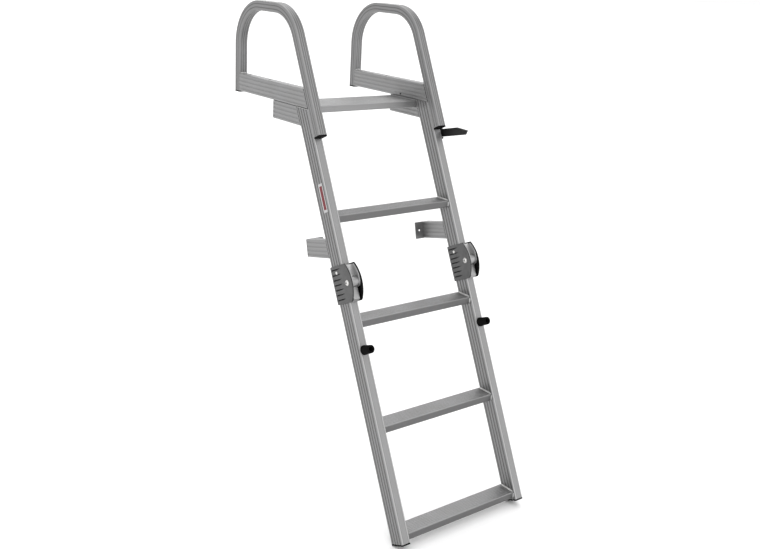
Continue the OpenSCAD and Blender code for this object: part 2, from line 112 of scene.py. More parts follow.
# ---------------------------------------- materials
class Mat:
    """A node material under construction: m.node() adds a node and wires its inputs."""

    def __init__(self, name):
        self.mat = bpy.data.materials.new(name)
        self.mat.use_nodes = True
        self.tree = self.mat.node_tree
        self.tree.nodes.clear()
        self.out = self.tree.nodes.new("ShaderNodeOutputMaterial")
        self.bsdf = self.tree.nodes.new("ShaderNodeBsdfPrincipled")
        self.tree.links.new(self.bsdf.outputs[0], self.out.inputs[0])

    def node(self, kind, inputs=None, **props):
        n = self.tree.nodes.new("ShaderNode" + kind)
        for k, v in props.items():
            setattr(n, k, v)
        for k, v in (inputs or {}).items():
            self.put(n.inputs[k], v)
        return n

    def put(self, socket, v):
        if isinstance(v, bpy.types.NodeSocket):
            self.tree.links.new(v, socket)
        else:
            socket.default_value = v

    def set(self, **inputs):
        for k, v in inputs.items():
            self.put(self.bsdf.inputs[k.replace("_", " ")], v)

    def coords(self, uv, scale, turn=0.0):
        """Texture coordinates: the piece's own run and girth from its UV map, or row-frame metres."""
        c = self.node("TexCoord").outputs["UV" if uv else "Object"]
        return self.node("Mapping", {"Vector": c, "Scale": scale, "Rotation": (turn, 0, 0)}).outputs[0]

    def noise(self, vector, scale, detail=3.0, rough=0.55):
        inputs = {"Vector": vector, "Scale": scale, "Detail": detail, "Roughness": rough}
        return self.node("TexNoise", inputs).outputs[0]

    def mix(self, fac, a, b, blend="MIX"):
        n = self.node("Mix", data_type="RGBA", blend_type=blend)
        self.put(n.inputs["Factor"], fac)
        self.put(n.inputs[6], a)
        self.put(n.inputs[7], b)
        return n.outputs[2]

    def math(self, op, a, b=0.0, clamp=False):
        n = self.node("Math", operation=op, use_clamp=clamp)
        self.put(n.inputs[0], a)
        self.put(n.inputs[1], b)
        return n.outputs[0]

    def remap(self, v, lo, hi, to_lo, to_hi):
        inputs = {"Value": v, "From Min": lo, "From Max": hi, "To Min": to_lo, "To Max": to_hi}
        return self.node("MapRange", inputs).outputs[0]

    def flute(self):
        """The mark that a piece's mesh carries: above 0 where shade is painted, in its flutes and hollows,
        below 0 where a highlight is painted, on its edges and the flutes' lips.
        """
        return self.node("Attribute", attribute_name="flute").outputs["Fac"]

    def off_rail_centre(self, v):
        """Distance from the nearer rail's centre plane, of a place in row-frame metres."""
        x = self.node("SeparateXYZ", {"Vector": v}).outputs[0]
        return self.math("ABSOLUTE", self.math("SUBTRACT", self.math("ABSOLUTE", x), RAIL_X))

    def bump(self, height, strength, distance, normal=None):
        n = self.node("Bump", {"Height": height, "Strength": strength, "Distance": distance})
        if normal is not None:
            self.put(n.inputs["Normal"], normal)
        return n.outputs[0]


def grey(v, tint=(1.0, 1.0, 1.0)):
    return (v * tint[0], v * tint[1], v * tint[2], 1)


def scratches(m, vector, scale, turn, width):
    """Sparse fine scratches: thin level lines of a stretched noise, kept only in a few patches."""
    stretch = {"Vector": vector, "Rotation": (0.3 * turn, 0.2, turn), "Scale": (1, 0.07, 1)}
    n = m.noise(m.node("Mapping", stretch).outputs[0], scale, 2.0)
    off = m.math("ABSOLUTE", m.math("SUBTRACT", n, 0.5))
    line = m.math("SUBTRACT", 1.0, m.math("DIVIDE", off, width), clamp=True)
    patch = m.remap(m.noise(vector, scale * 0.05, 1.0), 0.55, 0.66, 0.0, 1.0)
    return m.math("MULTIPLY", line, patch)


def extruded(name, base, rough, painted_shade, highlight):
    """Satin anodised extrusion: die lines along the run, cloudy anodising, a few handling scratches.

    Its last two arguments set how much shade is painted into the flutes and how much highlight is painted on
    the corners and the flutes' lips."""
    m = Mat(name)
    even = m.coords(True, (1, 1, 1))
    lines = m.coords(True, (1, 0.004, 1))
    die = m.noise(lines, 900.0, 4.0, 0.7)
    fine = m.noise(lines, 3200.0, 2.0, 0.6)
    cloud = m.noise(even, 14.0, 4.0, 0.6)
    grain = m.noise(even, 1500.0, 3.0, 0.6)
    dark, light = grey(base * 0.86, (1.0, 1.0, 1.01)), grey(base * 1.12, (1.0, 1.0, 1.015))
    colour = m.mix(m.remap(die, 0.3, 0.7, 0.0, 1.0), dark, light)
    colour = m.mix(m.remap(cloud, 0.35, 0.65, 0.0, 0.55), colour, grey(base * 1.04, (1.01, 1.0, 0.985)))
    colour = m.mix(m.remap(grain, 0.35, 0.75, 0.0, 0.16), colour, grey(base * 0.7))
    flute = m.flute()
    # painted shade deep in the flutes, then painted highlights on the corners and the flutes' lips
    colour = m.mix(m.remap(flute, 0.0, 1.0, 0.0, painted_shade), colour, grey(base * 0.30))
    colour = m.mix(m.remap(flute, 0.0, -1.0, 0.0, highlight), colour, grey(min(1.0, base * 2.2)))
    marks = scratches(m, even, 260.0, 0.5, 0.006)
    marks = m.math("MAXIMUM", marks, scratches(m, even, 190.0, 1.9, 0.005))
    colour = m.mix(m.math("MULTIPLY", marks, 0.45), colour, grey(min(1.0, base * 1.7)))
    r = m.remap(cloud, 0.3, 0.7, rough - 0.05, rough + 0.06)
    r = m.math("ADD", r, m.remap(die, 0.3, 0.7, -0.04, 0.04))
    height = m.math("ADD", m.math("MULTIPLY", die, 0.7), m.math("MULTIPLY", fine, 0.3))
    height = m.math("SUBTRACT", height, m.math("MULTIPLY", marks, 0.5))
    normal = m.bump(height, 0.22, 0.12 * MM)
    normal = m.bump(grain, 0.10, 0.05 * MM, normal)
    m.set(Base_Color=colour, Roughness=m.math("MAXIMUM", r, 0.1), Metallic=0.82, Normal=normal)
    m.set(Specular_IOR_Level=0.5)
    return m.mat


def cast(name, base, rough, lit_within=0.0, bright=0.0):
    """Tumbled cast or sawn aluminium: fine pits and a soft uneven tone.

    Within the distance given of a rail's centre plane, light is painted in: the slot there takes the lighter
    tone bright, against its shade."""
    m = Mat(name)
    v = m.coords(False, (1, 1, 1))
    pits = m.noise(v, 900.0, 4.0, 0.65)
    tone = m.noise(v, 40.0, 4.0, 0.6)
    marks = scratches(m, v, 300.0, 0.9, 0.007)
    light = grey(base * 1.1, (1.0, 1.0, 1.01))
    colour = m.mix(m.remap(tone, 0.35, 0.65, 0.0, 1.0), grey(base * 0.88), light)
    colour = m.mix(m.remap(pits, 0.55, 0.75, 0.0, 0.35), colour, grey(base * 0.6))
    colour = m.mix(m.math("MULTIPLY", marks, 0.4), colour, grey(min(1.0, base * 1.6)))
    # painted light in the hinge slot, against its shade
    if lit_within:
        colour = m.mix(m.math("LESS_THAN", m.off_rail_centre(v), lit_within), colour, grey(bright))
    normal = m.bump(pits, 0.25, 0.10 * MM)
    m.set(Base_Color=colour, Metallic=0.85, Normal=normal)
    m.set(Roughness=m.remap(tone, 0.3, 0.7, rough - 0.07, rough + 0.07))
    return m.mat


def weld_metal():
    """Bare weld bead: pale, slightly frosted, with painted shade in the ripples' low places."""
    m = Mat("weld_bead_metal")
    v = m.coords(False, (1, 1, 1))
    frost = m.noise(v, 1200.0, 4.0, 0.7)
    patch = m.noise(v, 160.0, 3.0, 0.6)
    colour = m.mix(m.remap(patch, 0.35, 0.65, 0.0, 1.0), grey(0.35), grey(0.54, (1.0, 0.995, 0.98)))
    colour = m.mix(m.remap(frost, 0.5, 0.8, 0.0, 0.4), colour, grey(0.24))
    # painted shade in the ripples' troughs
    colour = m.mix(m.remap(m.flute(), 0.0, 0.7, 0.0, 0.6), colour, grey(0.2))
    m.set(Base_Color=colour, Roughness=m.remap(patch, 0.3, 0.7, 0.42, 0.6), Metallic=0.5)
    m.set(Normal=m.bump(frost, 0.3, 0.08 * MM))
    return m.mat


def moulded(name, base, rough, grain_strength, worn, gloss=0.5, face=0.0):
    """Moulded plastic or rubber with a spark-eroded grain, faint scuffs and dust.

    Where face, a distance from a rail's centre plane, is given, the piece is darker the deeper it lies
    below that face: dirt, and painted shade in the louvres and on the rim."""
    m = Mat(name)
    v = m.coords(False, (1, 1, 1))
    cells = m.node("TexVoronoi", {"Vector": v, "Scale": 1500.0}).outputs["Distance"]
    grain = m.noise(v, 2400.0, 3.0, 0.6)
    tone = m.noise(v, 55.0, 4.0, 0.6)
    scuff = m.math("MAXIMUM", scratches(m, v, 330.0, 0.7, 0.010), scratches(m, v, 240.0, 2.2, 0.008))
    light = grey(base * 1.15, (1.0, 1.0, 1.01))
    colour = m.mix(m.remap(tone, 0.35, 0.65, 0.0, 1.0), grey(base * 0.85), light)
    colour = m.mix(m.remap(grain, 0.55, 0.8, 0.0, 0.3), colour, grey(base * 1.5 + 0.004))
    colour = m.mix(m.math("MULTIPLY", scuff, worn), colour, grey(base * 1.8 + 0.01))
    # dirt and painted shade, deeper below the outer face
    if face:
        below = m.math("SUBTRACT", face, m.off_rail_centre(v))
        colour = m.mix(m.remap(below, 0.35 * MM, 1.9 * MM, 0.0, 0.93), colour, grey(base * 0.05))
    normal = m.bump(m.math("ADD", cells, m.math("MULTIPLY", grain, 0.5)), grain_strength, 0.10 * MM)
    m.set(Base_Color=colour, Normal=normal)
    m.set(Roughness=m.remap(tone, 0.3, 0.7, rough - 0.06, rough + 0.06))
    m.set(Specular_IOR_Level=gloss)
    return m.mat


def stainless():
    """Stainless fasteners: bright, finely mottled, with painted shade in a bolt's socket, where it is
    marked.
    """
    m = Mat("stainless_steel")
    v = m.coords(False, (1, 1, 1))
    fine = m.noise(v, 2200.0, 3.0, 0.6)
    tone = m.noise(v, 300.0, 3.0, 0.6)
    dark, light = grey(0.58, (1.0, 0.99, 0.97)), grey(0.8, (1.0, 0.995, 0.98))
    colour = m.mix(m.remap(tone, 0.35, 0.65, 0.0, 1.0), dark, light)
    # painted shade in the socket
    colour = m.mix(m.remap(m.flute(), 0.0, 1.0, 0.0, 0.9), colour, grey(0.02))
    m.set(Base_Color=colour, Roughness=m.remap(fine, 0.3, 0.7, 0.18, 0.34), Metallic=1.0)
    m.set(Normal=m.bump(fine, 0.12, 0.05 * MM))
    return m.mat


def foil_label(name, centre, half_run):
    """Silver foil label with one plain dark red band; centre is its middle, in the row frame."""
    m = Mat(name)
    v = m.node("TexCoord").outputs["Object"]
    v = m.node("Mapping", {"Vector": v, "Location": tuple(-c for c in centre)}).outputs[0]
    v = m.node("Mapping", {"Vector": v, "Rotation": (LEAN, 0, 0)}).outputs[0]
    xyz = m.node("SeparateXYZ", {"Vector": v}).outputs
    wobble = m.remap(m.noise(v, 900.0, 2.0), 0.3, 0.7, -0.15 * MM, 0.15 * MM)
    across = m.math("ADD", xyz[1], wobble)
    along = m.math("ABSOLUTE", xyz[2])
    off_band = m.math("ABSOLUTE", m.math("ADD", across, 0.6 * MM))
    band = m.math("MULTIPLY", m.math("LESS_THAN", off_band, 6.0 * MM), m.math("LESS_THAN", along, half_run))
    fade = m.remap(m.noise(v, 700.0, 4.0, 0.7), 0.3, 0.75, 1.0, 0.85)
    brushed = m.noise(m.node("Mapping", {"Vector": v, "Scale": (1, 1, 0.02)}).outputs[0], 1600.0, 3.0)
    silver = m.mix(m.remap(brushed, 0.3, 0.7, 0.0, 1.0), grey(0.36), grey(0.56))
    colour = m.mix(m.math("MULTIPLY", band, fade), silver, (0.15, 0.002, 0.008, 1))
    m.set(Specular_IOR_Level=0.2)
    m.set(Base_Color=colour, Roughness=m.remap(brushed, 0.3, 0.7, 0.3, 0.45), Metallic=0.35)
    m.set(Normal=m.bump(brushed, 0.1, 0.03 * MM))
    return m.mat


# the last two numbers of each: painted shade in the flutes, painted highlight on the edges and lips
ALU = extruded("anodised_extrusion", 0.245, 0.44, 0.66, 0.45)
LEVEL = extruded("anodised_level_bar", 0.275, 0.46, 0.14, 0.1)
BENT = extruded("anodised_hand_rail", 0.24, 0.46, 0.6, 0.05)
TREAD = extruded("anodised_step", 0.255, 0.48, 0.12, 0.25)
# a darker copy of the step metal for the steps' front faces: painted shade
STEP_FRONT_SHADE = extruded("anodised_step_front_painted_shade", 0.14, 0.46, 0.4, 0.1)
CAST = cast("cast_aluminium", 0.31, 0.44)
# the hinge's slot gets painted light
CAST_SLOT = cast("cast_aluminium_slotted", 0.36, 0.44, 10.2 * MM, 0.42)
PLATE = cast("sawn_plate_aluminium", 0.24, 0.46)
WELD = weld_metal()
COVER_GREY = moulded("cover_plastic_grey", 0.085, 0.52, 0.28, 0.35, 0.35, RAIL_W / 2 + COVER_T)
# the same plastic as the grey covers, painted near black as the shade on the covers that face away
COVER_PAINTED_SHADE = moulded("cover_plastic_painted_shade", 0.004, 0.45, 0.22, 0.2, 0.12)
LATCH_BLACK = moulded("latch_plastic_black", 0.012, 0.48, 0.25, 0.4, 0.2)
RUBBER = moulded("rubber_black", 0.003, 0.7, 0.35, 0.1, 0.05)
STEEL = stainless()


# ---------------------------------------- mesh helpers
def finish_piece(name, bm, material, body, cad=(), sharp=32.0, front=None):
    """Turns bm into a piece that rides on a body and stands for the CAD nodes in cad.

    front, where given, is a darker copy of the material, painted shade, for the faces that look forward."""
    bmesh.ops.recalc_face_normals(bm, faces=bm.faces[:])
    mesh = bpy.data.meshes.new(name)
    bm.to_mesh(mesh)
    bm.free()
    mesh.shade_smooth()
    mesh.set_sharp_from_angle(angle=math.radians(sharp))
    obj = bpy.data.objects.new(name, mesh)
    bpy.context.scene.collection.objects.link(obj)
    mesh.materials.append(material)
    # faces that look forward take the darker copy: painted shade
    if front:
        mesh.materials.append(front)
        for face in mesh.polygons:
            face.material_index = int(face.normal.y < -0.8)
    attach(obj, body)
    if cad:
        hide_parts(*cad)
    return obj


LIP, HIGHLIGHT_BAND = 0.35 * MM, 0.7 * MM       # a flute's rounded lip, and the band beside it where a highlight is painted
HIGHLIGHT_MARK, SOFT_HIGHLIGHT_MARK = -1.3, -0.2           # marks of painted highlight: strong on a listed corner, faint on the others


def rounded(w, d, r, grooves=None, steps=5, bright=()):
    """Outline of a rounded w x d rectangle, u from -w/2, v from 0, anticlockwise from the bottom left.

    grooves holds, for the sides "front" (v = 0), "right", "back" and "left", lists of (centre, width,
    depth), where centre is a distance along the side from its middle. A point's third number is its mark:
    above 0 deep in a flute, where shade is painted, below 0 on an edge or a flute's lip, where a highlight
    is painted. bright lists the corners, counted from the bottom right, whose painted highlight is strong
    on their half next to the front; the back left one is on its half next to the left side."""
    grooves = grooves or {}
    support = 0.3 * MM
    sides = (("front", (-w / 2, 0, 0), X, Y, w), ("right", (w / 2, 0, 0), Y, -X, d),
             ("back", (w / 2, d, 0), -X, -Y, w), ("left", (-w / 2, d, 0), -Y, X, d))
    pts = []
    for corner, (side, start, go, inward, length) in enumerate(sides):
        start = Vector(start)
        first_mark = HIGHLIGHT_MARK if corner == 0 and 3 in bright else 0.0
        pts.append(start + go * (r + support) + Z * first_mark)
        cuts = [g if side in ("front", "right") else (-g[0], g[1], g[2]) for g in grooves.get(side, ())]
        for c, gw, depth in sorted(cuts):
            half = gw / 2
            # into a flute: a painted highlight on the lip, then painted shade towards its floor
            steps_in = ((half + LIP + HIGHLIGHT_BAND, 0, 0), (half + LIP, 0, -0.8), (half + LIP * 0.3, 0.14, -0.4),
                        (half - LIP * 0.3, 0.8, 0.7), (half - LIP, 1, 1))
            for off, down, mark in steps_in + tuple((-o, dn, mk) for o, dn, mk in reversed(steps_in)):
                pts.append(start + go * (length / 2 + c - off) + inward * (down * depth) + Z * mark)
        end = start + go * (length - r)
        centre = end + inward * r
        for k in range(steps + 1):
            a = math.pi / 2 * k / steps
            share = k / steps if corner > 1 else 1 - k / steps
            # painted highlight along the corner
            highlight_mark = HIGHLIGHT_MARK * share if corner in bright else SOFT_HIGHLIGHT_MARK
            if k == 0:
                pts.append(end - go * support + Z * highlight_mark)
            pts.append(centre - inward * (r * math.cos(a)) + go * (r * math.sin(a)) + Z * highlight_mark)
    return pts


def tube(bm, outer, inner, stations, uv_shift):
    """Skins a hollow section, or a solid one without inner, through stations.

    A station is a function from (u, v) to a point, and its run in metres."""
    uv = bm.loops.layers.uv.verify()
    flute = bm.verts.layers.float.new("flute")
    loops = []
    for pts in (outer, inner):
        if pts is None:
            continue
        rings = [[bm.verts.new(place(p)) for p in pts] for place, _ in stations]
        for ring in rings:
            for vert, p in zip(ring, pts):
                vert[flute] = p.z
        girth = [0.0]
        for i in range(len(pts)):
            girth.append(girth[-1] + (pts[(i + 1) % len(pts)] - pts[i]).xy.length)
        for k in range(len(rings) - 1):
            for i in range(len(pts)):
                j = (i + 1) % len(pts)
                f = bm.faces.new((rings[k][i], rings[k][j], rings[k + 1][j], rings[k + 1][i]))
                for loop, (g, s) in zip(f.loops, ((i, k), (i + 1, k), (i + 1, k + 1), (i, k + 1))):
                    loop[uv].uv = (girth[g] + uv_shift, stations[s][1] + uv_shift * 3.7)
        loops.append(rings)
    for end in (0, -1):
        edges = []
        for rings in loops:
            ring = rings[end]
            edges += [bm.edges.get((ring[i], ring[(i + 1) % len(ring)])) for i in range(len(ring))]
        made = bmesh.ops.triangle_fill(bm, edges=edges, use_beauty=True)["geom"]
        for f in made:
            if isinstance(f, bmesh.types.BMFace):
                for loop in f.loops:
                    loop[uv].uv = (loop.vert.co.x * 1.3 + loop.vert.co.y, loop.vert.co.z)


def straight(origin, u_dir, v_dir, along, ends):
    """Stations of a straight run through origin, cut by the two end planes (point, normal)."""
    def cutter(point, normal):
        def place(p):
            base = origin + u_dir * p.x + v_dir * p.y
            return base + along * ((point - base).dot(normal) / along.dot(normal))
        return place
    return [(cutter(*end), (end[0] - origin).dot(along)) for end in ends]


def profile(kind):
    """Outer and inner outlines of an extrusion, u across and v through it."""
    corners = (0, 3) if kind != "bar" else ()
    if kind in ("rail", "bar"):
        side = [((k - 1.5) * 11.2 * MM, 4.6 * MM, 1.0 * MM) for k in range(4)]
        edge = [(s * (RAIL_W / 2 - 6.0 * MM), 1.2 * MM, 0.5 * MM) for s in (-1, 1)]
        grooves = {"left": side, "right": side, "front": edge, "back": edge}
        outer = rounded(RAIL_W, RAIL_D, 3 * MM, grooves, bright=corners)
        inner = rounded(RAIL_W - 2 * WALL, RAIL_D - 2 * WALL, 1.2 * MM, steps=3)
        return outer, [p + Y * WALL for p in inner]
    flat = [(k * 6.4 * MM, 2.2 * MM, 0.8 * MM) for k in (-1, 0, 1)]
    side = [(k * 4.6 * MM, 2.6 * MM, 0.8 * MM) for k in (-1, 1)]
    grooves = {"left": side, "right": side, "front": flat, "back": flat}
    outer = rounded(RAIL_W, HANDLE_T, 4 * MM, grooves, bright=corners)
    inner = rounded(RAIL_W - 2 * WALL, HANDLE_T - 2 * WALL, 2 * MM, steps=3)
    return [p - Y * (HANDLE_T / 2) for p in outer], [p + Y * (WALL - HANDLE_T / 2) for p in inner]


def step_profile(depth):
    """Outline of a step and its ribbed tread: u backwards from the front edge, v up from the underside."""
    height = 20 * MM
    count = int((depth / MM - 6) // 6)
    ribs = [(-depth / 2 + (k * 6 + 1.5) * MM, 1.6 * MM, 0.6 * MM) for k in range(1, count + 1)]
    outer = rounded(depth, height, 2.5 * MM, {"back": ribs}, bright=(2,))
    return [p + Vector((depth / 2, -height, 0)) for p in outer]


RAIL_OUT, RAIL_IN = profile("rail")
BAR_OUT = profile("bar")[0]
HANDLE_OUT, HANDLE_IN = profile("handle")
SIDES = (("left", -1), ("right", 1))


def run(name, material, body, node, section, stations, shift, front=None):
    bm = bmesh.new()
    tube(bm, section[0], section[1], stations, shift)
    return finish_piece(name, bm, material, body, (node,), front=front)


def cut(obj, cutters):
    """Cuts the closed meshes in cutters, bmesh objects, out of a piece."""
    made = []
    for k, bm in enumerate(cutters):
        bmesh.ops.recalc_face_normals(bm, faces=bm.faces[:])
        mesh = bpy.data.meshes.new("cutter")
        bm.to_mesh(mesh)
        bm.free()
        tool = bpy.data.objects.new("cutter_%d" % k, mesh)
        bpy.context.scene.collection.objects.link(tool)
        made.append(tool)
        mod = obj.modifiers.new("cut", "BOOLEAN")
        mod.operation, mod.solver, mod.object = "DIFFERENCE", "EXACT", tool
    graph = bpy.context.evaluated_depsgraph_get()
    mesh = bpy.data.meshes.new_from_object(obj.evaluated_get(graph))
    obj.modifiers.clear()
    obj.data = mesh
    mesh.shade_smooth()
    mesh.set_sharp_from_angle(angle=math.radians(32))
    for tool in made:
        bpy.data.objects.remove(tool)


def drill(at, axis, radius, length):
    """A round cutter centred at a point."""
    bm = bmesh.new()
    turn = Vector(axis).to_track_quat("Z", "Y").to_matrix().to_4x4()
    bmesh.ops.create_cone(bm, cap_ends=True, segments=40, radius1=radius, radius2=radius, depth=length,
                          matrix=Matrix.Translation(at) @ turn)
    return bm


# ---------------------------------------- rails, deck bars, brackets and stand-offs
for i, (side, s) in enumerate(SIDES):
    section, level = (RAIL_OUT, RAIL_IN), (BAR_OUT, RAIL_IN)
    x = s * RAIL_X
    foot = rail(x, 0, FOOT_Z)
    hinge_low = rail(x, 0, PIVOT_Z - HINGE_GAP)
    hinge_high = rail(x, 0, PIVOT_Z + HINGE_GAP)
    ends = ((foot, RAIL_UP), (hinge_low, RAIL_UP))
    run("rail_lower_tube_" + side, ALU, LOWER, "rail_lower_" + side, section,
        straight(foot, X, RAIL_BACK, RAIL_UP, ends), 0.3 + i)
    ends = ((hinge_high, RAIL_UP), (deck(x, 0, -GAP), Z))
    run("rail_upper_tube_" + side, ALU, UPPER, "rail_upper_" + side, section,
        straight(hinge_high, X, RAIL_BACK, RAIL_UP, ends), 2.3 + i)
    bar_end = deck(x, handle_hi.y - DECK_Y - HANDLE_T - GAP, 0)
    ends = ((rail(x, GAP, 0), RAIL_BACK), (bar_end, Y))
    bar = run("deck_bar_tube_" + side, LEVEL, UPPER, "deck_bar_" + side, level,
              straight(deck(x, 0, 0), X, Z, Y, ends), 4.3 + i)
    # the deck bolt holes, and the small hole seen in the bar's inner wall
    cutters = [drill((x, y * BOLT_PITCH / 2, RAIL_D / 2), Z, BOLT_R, 80 * MM) for y in (-1, 1)]
    cutters.append(drill(deck(s * INNER_X, 127 * MM, 7 * MM), X, 3 * MM, 8 * MM))
    cut(bar, cutters)
    behind_rail = rail(x, RAIL_D + GAP, 0)
    ends = ((behind_rail, RAIL_BACK), (deck(0, bracket_hi.y - DECK_Y, 0), Y))
    run("bracket_tube_" + side, LEVEL, UPPER, "bracket_" + side, level,
        straight(deck(x, 0, -RAIL_D - GAP), X, Z, Y, ends), 6.3 + i)
    out_dir = (RAIL_BACK * math.cos(STANDOFF_TILT) + RAIL_UP * math.sin(STANDOFF_TILT)).normalized()
    up_dir = (RAIL_UP * math.cos(STANDOFF_TILT) - RAIL_BACK * math.sin(STANDOFF_TILT)).normalized()
    root = rail(x, RAIL_D, STANDOFF_Z)
    ends = ((behind_rail, RAIL_BACK), (root + out_dir * STANDOFF_L, out_dir))
    run("standoff_tube_" + side, LEVEL, UPPER, "standoff_" + side, level,
        straight(root - up_dir * (RAIL_D / 2), X, up_dir, out_dir, ends), 8.3 + i)


# ---------------------------------------- hand rails
def handle_stations(s):
    """The hand rail's centre line, from the front leg's foot over two bends to the rear leg's foot."""
    top = handle_hi.z - HANDLE_T / 2
    rear = handle_hi.y - DECK_Y - HANDLE_T / 2
    leg = -(HANDLE_T / 2 + GAP)
    turn = math.pi / 2 - LEAN
    corner_z = (top + leg * SA) / CA
    corner_y = leg * CA + corner_z * SA
    bend = BEND_R * math.tan(turn / 2)
    out, length = [], 0.0

    def add(point, heading, dist):
        nonlocal length
        length += dist
        inward = Vector((0, heading.z, -heading.y))

        def place(p, c=point, n=inward):
            return Vector((s * RAIL_X + p.x, c.y, c.z)) + n * p.y
        out.append((place, length))

    def arc(centre, first, sweep, count=22):
        for k in range(1, count + 1):
            a = first + sweep * (1 - k / count)
            radial, heading = Vector((0, math.cos(a), math.sin(a))), Vector((0, math.sin(a), -math.cos(a)))
            add(centre + radial * BEND_R, heading, BEND_R * sweep / count)

    foot = rail(0, leg, -LEG_DROP)
    bend_start = rail(0, leg, corner_z - bend)
    add(foot, RAIL_UP, 0)
    add(bend_start, RAIL_UP, (bend_start - foot).length)
    arc(deck(0, corner_y + bend, top - BEND_R), math.pi / 2, turn)
    centre = deck(0, rear - BEND_R, top - BEND_R)
    add(centre + Z * BEND_R, Y, rear - BEND_R - corner_y - bend)
    arc(centre, 0.0, math.pi / 2)
    add(deck(0, rear, 0), -Z, top - BEND_R)
    return out


for i, (side, s) in enumerate(SIDES):
    run("handle_tube_" + side, BENT, UPPER, "handle_" + side, (HANDLE_OUT, HANDLE_IN),
        handle_stations(s), 10.3 + i)


# ---------------------------------------- steps
for i, node in enumerate(("step_top", "step_2", "step_3", "step_4", "step_5")):
    lo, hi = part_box(node)
    origin = Vector((0, lo.y, hi.z))
    ends = ((Vector((lo.x, 0, 0)), X), (Vector((hi.x, 0, 0)), X))
    outer = step_profile(hi.y - lo.y)
    # all but the top step get painted shade on their front faces
    run(node + "_tread", TREAD, UPPER if i < 2 else LOWER, node, (outer, None),
        straight(origin, Y, Z, X, ends), 12.3 + i, STEP_FRONT_SHADE if i else None)


# ---------------------------------------- weld beads
def bead(bm, start, end, first, second, size, phase=0.0):
    """A rippled fillet from start to end, in the corner between faces that look along first and second."""
    run_length = (end - start).length
    along = (end - start) / run_length
    ripple, arc = 2.3 * MM, 7
    count = max(8, int(run_length / (0.45 * MM)))
    flute = bm.verts.layers.float.get("flute") or bm.verts.layers.float.new("flute")
    rings = []
    for k in range(count + 1):
        t = k / count
        at = start + along * (run_length * t)
        wave = (t * run_length / ripple + phase) % 1.0
        swell = 1.0 + 0.13 * math.sin(math.pi * wave) + 0.07 * math.sin(t * run_length * 410 + phase * 9)
        size_here = size * swell * min(1.0, 0.35 + 9 * min(t, 1 - t)) - 0.07 * size * wave
        ring = []
        for j in range(arc + 1):
            a = math.pi / 2 * j / arc
            flat = 0.80 + 0.20 * abs(math.cos(2 * a))
            vert = bm.verts.new(at + (first * math.cos(a) + second * math.sin(a)) * (size_here * flat)
                                - along * (0.5 * MM * math.sin(2 * a)))
            # the ripples' troughs carry the mark for painted shade
            vert[flute] = 0.7 if wave < 0.12 else -0.2
            ring.append(vert)
        ring.append(bm.verts.new(at + (first + second) * (0.04 * MM)))
        rings.append(ring)
    for low, high in zip(rings, rings[1:]):
        for j in range(len(low)):
            n = (j + 1) % len(low)
            bm.faces.new((low[j], low[n], high[n], high[j]))
    bm.faces.new(rings[0][::-1])
    bm.faces.new(rings[-1])


def step_beads(bm, node, size):
    """Beads over, under and in front of both ends of a step."""
    lo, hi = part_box(node)
    for s in (-1, 1):
        x, inward = s * (INNER_X - GAP), -s * X
        bead(bm, Vector((x, lo.y + 3 * MM, hi.z)), Vector((x, hi.y - 5 * MM, hi.z)),
             inward, Z, size, 0.2 + s * 0.1)
        bead(bm, Vector((x, lo.y + 6 * MM, lo.z)), Vector((x, hi.y - 6 * MM, lo.z)),
             inward, -Z, size, 0.6)
        bead(bm, Vector((x, lo.y, lo.z + 3 * MM)), Vector((x, lo.y, hi.z - 3 * MM)),
             inward, -Y, size * 0.8, 0.4)


STEP_BEAD, BAR_BEAD, SEAM = 3.2 * MM, 3 * MM, 1.5 * MM
upper = bmesh.new()
step_beads(upper, "step_2", STEP_BEAD)
wide_lo, wide_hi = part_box("step_top")
for s in (-1, 1):
    x = s * (INNER_X - GAP)
    bead(upper, Vector((x, wide_lo.y + 4 * MM, wide_lo.z)), Vector((x, wide_hi.y - 4 * MM, wide_lo.z)),
         -s * X, -Z, STEP_BEAD)
    # across the tubes: bar to rear leg, bar to front leg, and bracket to rail
    left, right = (s * RAIL_X - 10 * MM), (s * RAIL_X + 10 * MM)
    rear = handle_hi.y - HANDLE_T
    bead(upper, Vector((left, rear, RAIL_D)), Vector((right, rear, RAIL_D)), -Y, Z, BAR_BEAD, 0.3)
    joint_y = rail(0, -GAP, RAIL_D / CA).y
    bead(upper, Vector((left, joint_y, RAIL_D)), Vector((right, joint_y, RAIL_D)), RAIL_UP, Y, BAR_BEAD, 0.7)
    low = -RAIL_D - GAP
    under_y = DECK_Y + (RAIL_D + low * SA) / CA
    bead(upper, Vector((left, under_y, low)), Vector((right, under_y, low)), -RAIL_UP, Y, BAR_BEAD, 0.1)
    # a thin seam on the outer face, where the rail meets the deck bar
    face = s * (HALF_W - 0.2 * MM)
    bead(upper, rail(face, 2 * MM, 0) - Z * 0.2 * MM, deck(face, RAIL_D / CA - 2 * MM, -0.2 * MM),
         s * X, -Z, SEAM, 0.5)
finish_piece("weld_fillets_upper", upper, WELD, UPPER, ("weld_beads_upper",), 50)
lower = bmesh.new()
for node in ("step_3", "step_4", "step_5"):
    step_beads(lower, node, STEP_BEAD)
finish_piece("weld_fillets_lower", lower, WELD, LOWER, ("weld_beads_lower",), 50)


# ---------------------------------------- hinge covers
LOUVRES, LOUVRE_PITCH = 7, 13.3 * MM


def cover_outline(inset):
    """The cover from the side, round in front: y from the rail's front face, z from the pivot."""
    radius, top = COVER_R - inset, COVER_HALF_H - inset
    rear = RAIL_D - inset
    low_z = -COVER_HALF_H + inset
    pts = [(rear, low_z + 1.5 * MM), (rear, top - 1.5 * MM), (rear - 1.5 * MM, top)]
    first = math.asin(top / radius)
    last = -math.asin((COVER_HALF_H - 4.2 * MM - inset) / radius)
    count = 36
    for k in range(count + 1):
        a = first + (last - first) * k / count
        pts.append((COVER_C - radius * math.cos(a), radius * math.sin(a)))
    foot = pts[-1]
    pts.append((foot[0] + 3.4 * MM, low_z + 0.8 * MM))
    pts.append((foot[0] + 6.5 * MM, low_z))
    pts.append((rear - 1.5 * MM, low_z))
    return pts


